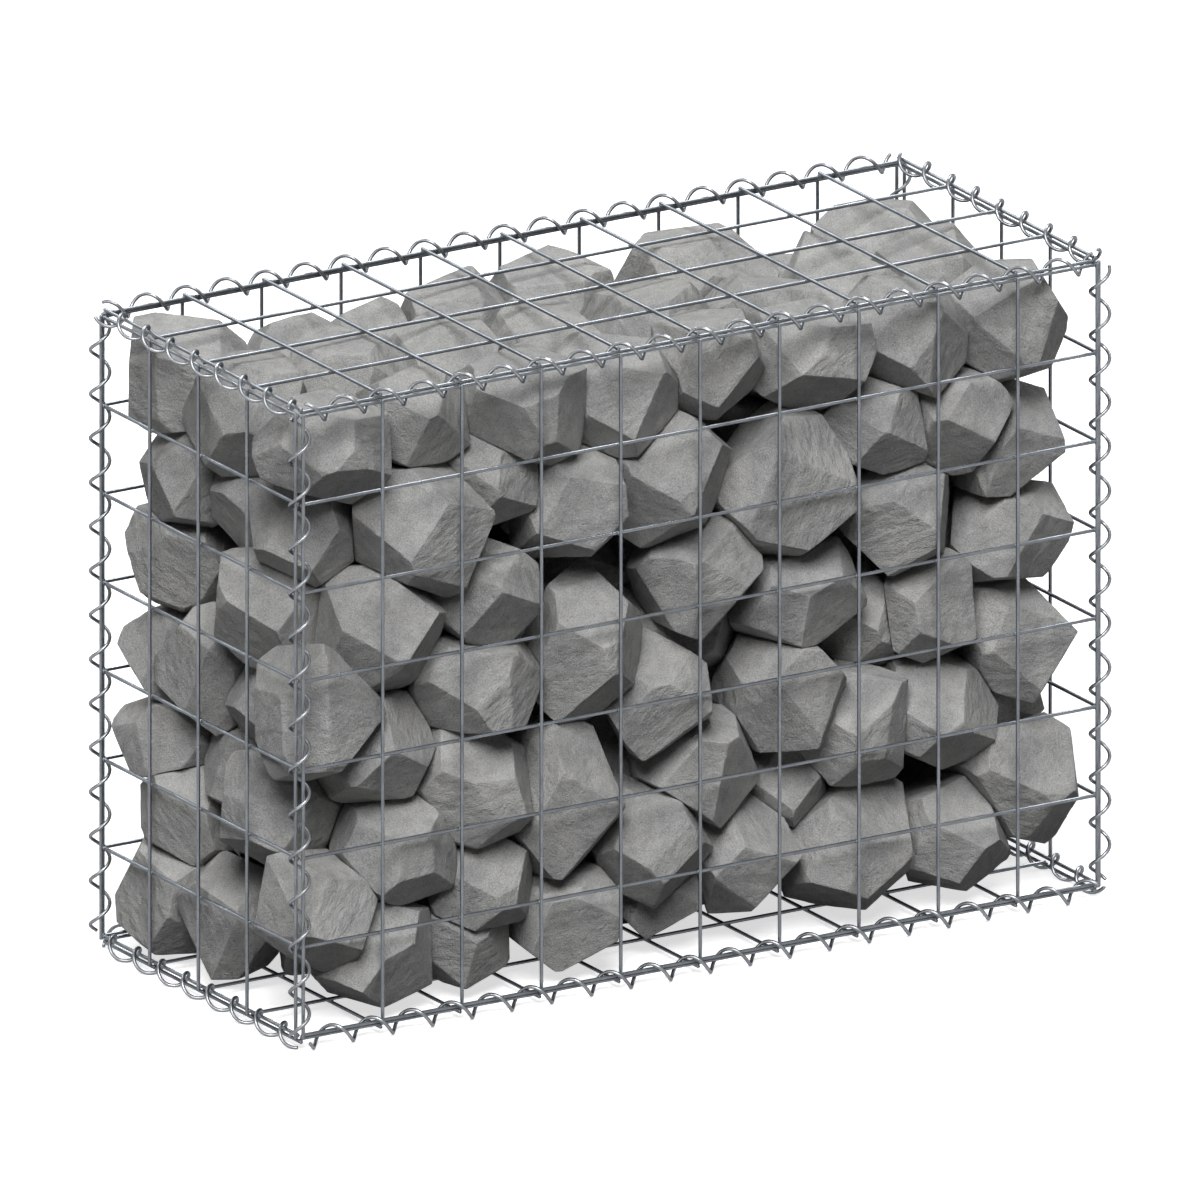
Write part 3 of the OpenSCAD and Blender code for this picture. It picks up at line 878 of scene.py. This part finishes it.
def zinc_material(name, settings):
    """Galvanised wire with the zinc bloom over it."""
    material, tree, shader = new_material(name)
    place = tree.nodes.new("ShaderNodeTexCoord")
    bloom = tree.nodes.new("ShaderNodeGroup")
    bloom.node_tree = zinc_bloom_group()
    tree.links.new(place.outputs["Object"], bloom.inputs["Vector"])
    bloom.inputs["Bright"].default_value = colour(settings.zinc)
    bloom.inputs["Dull"].default_value = colour(settings.dull_zinc)
    bloom.inputs["Roughness"].default_value = settings.roughness
    shader.inputs["Metallic"].default_value = settings.metallic
    shader.inputs["Specular Tint"].default_value = colour(settings.edge_tint)
    tree.links.new(bloom.outputs["Color"], shader.inputs["Base Color"])
    tree.links.new(bloom.outputs["Roughness"], shader.inputs["Roughness"])
    bump = add(tree, "ShaderNodeBump", **ZINC_BUMP, Height=bloom.outputs["Height"])
    tree.links.new(bump.outputs["Normal"], shader.inputs["Normal"])
    return material


def field(tree, name):
    """Add a node that reads an attribute of the piece."""
    made = tree.nodes.new("ShaderNodeAttribute")
    made.attribute_name = name
    return made


def stone_material(settings):
    """Grey quarry stone, from masks that follow each stone's own bedding, with painted shade in its
    pits.

    colour = grey x (level + sum(mask x share)), where the grey goes from cool to warm with the
    clouds, and height = dents + sum(mask x share).
    """
    material, tree, shader = new_material("quarry_stone")
    bed = field(tree, "bedding").outputs["Vector"]
    masks = {"tone": field(tree, "tone").outputs["Fac"],
             "worn": field(tree, "edge_wear").outputs["Fac"]}
    for name, values in STONE_MASKS.items():
        masks[name] = patches(tree, bed, *values)
    # Pits: small sunken cells of the bedding, also darkened with painted shade in the colour
    cells = add(tree, "ShaderNodeTexVoronoi", Vector=bed, Scale=PIT_SCALE)
    pit = add(tree, "ShaderNodeMapRange", Value=cells.outputs["Distance"], From_Min=PIT_SPAN[0],
              From_Max=PIT_SPAN[1], To_Min=1.0, To_Max=0.0)
    masks["pit"] = pit.outputs["Result"]

    grey = blended(tree, masks["clouds"], colour(settings.cool_grey), colour(settings.warm_grey))
    level = layered(tree, STONE_LEVEL, *((masks[n], share) for n, share in STONE_TONES.items()))
    shade = add(tree, "ShaderNodeCombineColor", Red=level, Green=level, Blue=level)
    tree.links.new(blended(tree, 1.0, grey, shade.outputs["Color"], "MULTIPLY"),
                   shader.inputs["Base Color"])
    rough = layered(tree, STONE_ROUGHNESS, (masks["grain"], GRAIN_ROUGHNESS))
    tree.links.new(rough, shader.inputs["Roughness"])
    height = layered(
        tree, masks["dents"], *((masks[n], share) for n, share in STONE_RELIEF.items()))
    bump = add(tree, "ShaderNodeBump", **STONE_BUMP, Height=height)
    tree.links.new(bump.outputs["Normal"], shader.inputs["Normal"])
    shader.inputs["Specular IOR Level"].default_value = STONE_GLOSS
    return material


# Stage

CAMERA_DISTANCE = 4.0
# Half the width of the floor
FLOOR_REACH = 15.0
# The floor as it is seen, with the light it gives off itself, and as it scatters light
FLOOR_SEEN = (0.8, 0.8, 0.8, 1)
FLOOR_GLOW = 0.66
FLOOR_DIM = (0.12, 0.12, 0.12, 1)


def bearing_vector(azimuth, elevation):
    """Unit vector towards a place at an azimuth from straight in front and an elevation."""
    level = math.cos(elevation)
    return Vector((math.sin(azimuth) * level, -math.cos(azimuth) * level, math.sin(elevation)))


def soft_lamp(name, towards, strength, spread):
    """Add a distant lamp that spans an angle of the sky about the given way, and give it."""
    light = bpy.data.lights.new(name, "SUN")
    light.energy, light.angle = strength, spread
    lamp = bpy.data.objects.new(name, light)
    lamp.rotation_euler = towards.to_track_quat("Z", "Y").to_euler()
    bpy.context.scene.collection.objects.link(lamp)
    return lamp


def seen_directly(tree):
    """1 for a ray from the camera, in a mirror or through glass, and 0 for scattered light."""
    path = tree.nodes.new("ShaderNodeLightPath")
    seen = maths(tree, "MAXIMUM", path.outputs["Is Camera Ray"], path.outputs["Is Glossy Ray"])
    return maths(tree, "MAXIMUM", seen, path.outputs["Is Transmission Ray"])


def floor_material():
    """Pale floor that shows white where no shadow falls, and throws little light back up."""
    material, tree, shader = new_material("pale_floor")
    tree.nodes.remove(shader)
    end = next(n for n in tree.nodes if n.type == "OUTPUT_MATERIAL")
    pale = add(tree, "ShaderNodeBsdfDiffuse", Color=FLOOR_SEEN)
    glow = add(tree, "ShaderNodeEmission", Color=WHITE, Strength=FLOOR_GLOW)
    shown = tree.nodes.new("ShaderNodeAddShader")
    tree.links.new(pale.outputs[0], shown.inputs[0])
    tree.links.new(glow.outputs[0], shown.inputs[1])
    dim = add(tree, "ShaderNodeBsdfDiffuse", Color=FLOOR_DIM)
    chosen = tree.nodes.new("ShaderNodeMixShader")
    tree.links.new(seen_directly(tree), chosen.inputs[0])
    tree.links.new(dim.outputs[0], chosen.inputs[1])
    tree.links.new(shown.outputs[0], chosen.inputs[2])
    tree.links.new(chosen.outputs[0], end.inputs["Surface"])
    return material


class GABION_OT_stage(bpy.types.Operator):
    """Set the camera, the floor and the light"""

    bl_idname = "gabion.stage"
    bl_label = "Set stage"

    def execute(self, context):
        settings = context.scene.gabion_stage
        scene = context.scene
        scene.view_settings.view_transform = "Standard"
        centre = (CAD_BOX[0] + CAD_BOX[1]) / 2

        lens = bpy.data.cameras.new("view")
        lens.type, lens.ortho_scale = "ORTHO", settings.frame_width
        camera = bpy.data.objects.new("view", lens)
        back = bearing_vector(settings.azimuth, settings.elevation)
        camera.location = centre + back * CAMERA_DISTANCE
        camera.rotation_euler = back.to_track_quat("Z", "Y").to_euler()
        scene.collection.objects.link(camera)
        scene.camera = camera

        for name in ("key", "top", "back", "side", "fill"):
            azimuth, elevation, strength, spread = (
                getattr(settings, f"{name}_{part}")
                for part in ("azimuth", "elevation", "strength", "spread"))
            towards = bearing_vector(azimuth, elevation)
            lamp = soft_lamp(name, towards, strength, spread)
            # The fill light only lifts the shadows, so the wires don't mirror it. A gleam is the
            # other way about: it shines on the wires and leaves the stones as they are.
            lamp.visible_glossy = name != "fill"
            gleam = getattr(settings, f"{name}_gleam", 0.0)
            if gleam > 0:
                soft_lamp(f"{name}_gleam", towards, gleam, spread).visible_diffuse = False

        corners = np.array([(-1, -1, 0), (1, -1, 0), (1, 1, 0), (-1, 1, 0)]) * FLOOR_REACH
        floor = mesh_object("floor", corners + (0, 0, CAD_BOX[0].z), [(0, 1, 2, 3)])
        floor.data.materials.append(floor_material())

        world = bpy.data.worlds.new("studio")
        world.use_nodes = True
        scene.world = world
        tree = world.node_tree
        soft = next(n for n in tree.nodes if n.type == "BACKGROUND")
        soft.inputs["Color"].default_value = WHITE
        soft.inputs["Strength"].default_value = settings.ambient
        white = add(tree, "ShaderNodeBackground", Color=WHITE, Strength=1.0)
        chosen = tree.nodes.new("ShaderNodeMixShader")
        tree.links.new(seen_directly(tree), chosen.inputs[0])
        tree.links.new(soft.outputs[0], chosen.inputs[1])
        tree.links.new(white.outputs[0], chosen.inputs[2])
        end = next(n for n in tree.nodes if n.type == "OUTPUT_WORLD")
        tree.links.new(chosen.outputs[0], end.inputs["Surface"])
        return {"FINISHED"}


class GABION_PT_wall(bpy.types.Panel):
    """Lists the steps that dress the wall, each with its settings"""

    bl_idname = "GABION_PT_wall"
    bl_label = "Gabion wall"
    bl_space_type = "VIEW_3D"
    bl_region_type = "UI"
    bl_category = "Gabion"

    def draw(self, context):
        for operator, group in STEPS:
            box = self.layout.box()
            box.operator(operator.bl_idname)
            settings = getattr(context.scene, group)
            for name in settings.__annotations__:
                box.prop(settings, name)


SETTINGS = {
    "gabion_stones": StoneSettings,
    "gabion_panels": PanelSettings,
    "gabion_spirals": SpiralSettings,
    "gabion_stage": StageSettings,
}
STEPS = [
    (GABION_OT_stones, "gabion_stones"),
    (GABION_OT_panels, "gabion_panels"),
    (GABION_OT_spirals, "gabion_spirals"),
    (GABION_OT_stage, "gabion_stage"),
]
CLASSES = [*SETTINGS.values(), *(operator for operator, _ in STEPS), GABION_PT_wall]


def register():
    """Register the classes, and put their settings on the scene."""
    for made in CLASSES:
        bpy.utils.register_class(made)
    for group, kind in SETTINGS.items():
        setattr(bpy.types.Scene, group, PointerProperty(type=kind))


def unregister():
    """Take the settings and the classes away again."""
    for group in SETTINGS:
        delattr(bpy.types.Scene, group)
    for made in reversed(CLASSES):
        bpy.utils.unregister_class(made)


def main():
    """Dress the wall step by step."""
    register()
    bpy.ops.gabion.stones()
    bpy.ops.gabion.panels()
    bpy.ops.gabion.spirals()
    bpy.ops.gabion.stage()


if __name__ == "__main__":
    main()
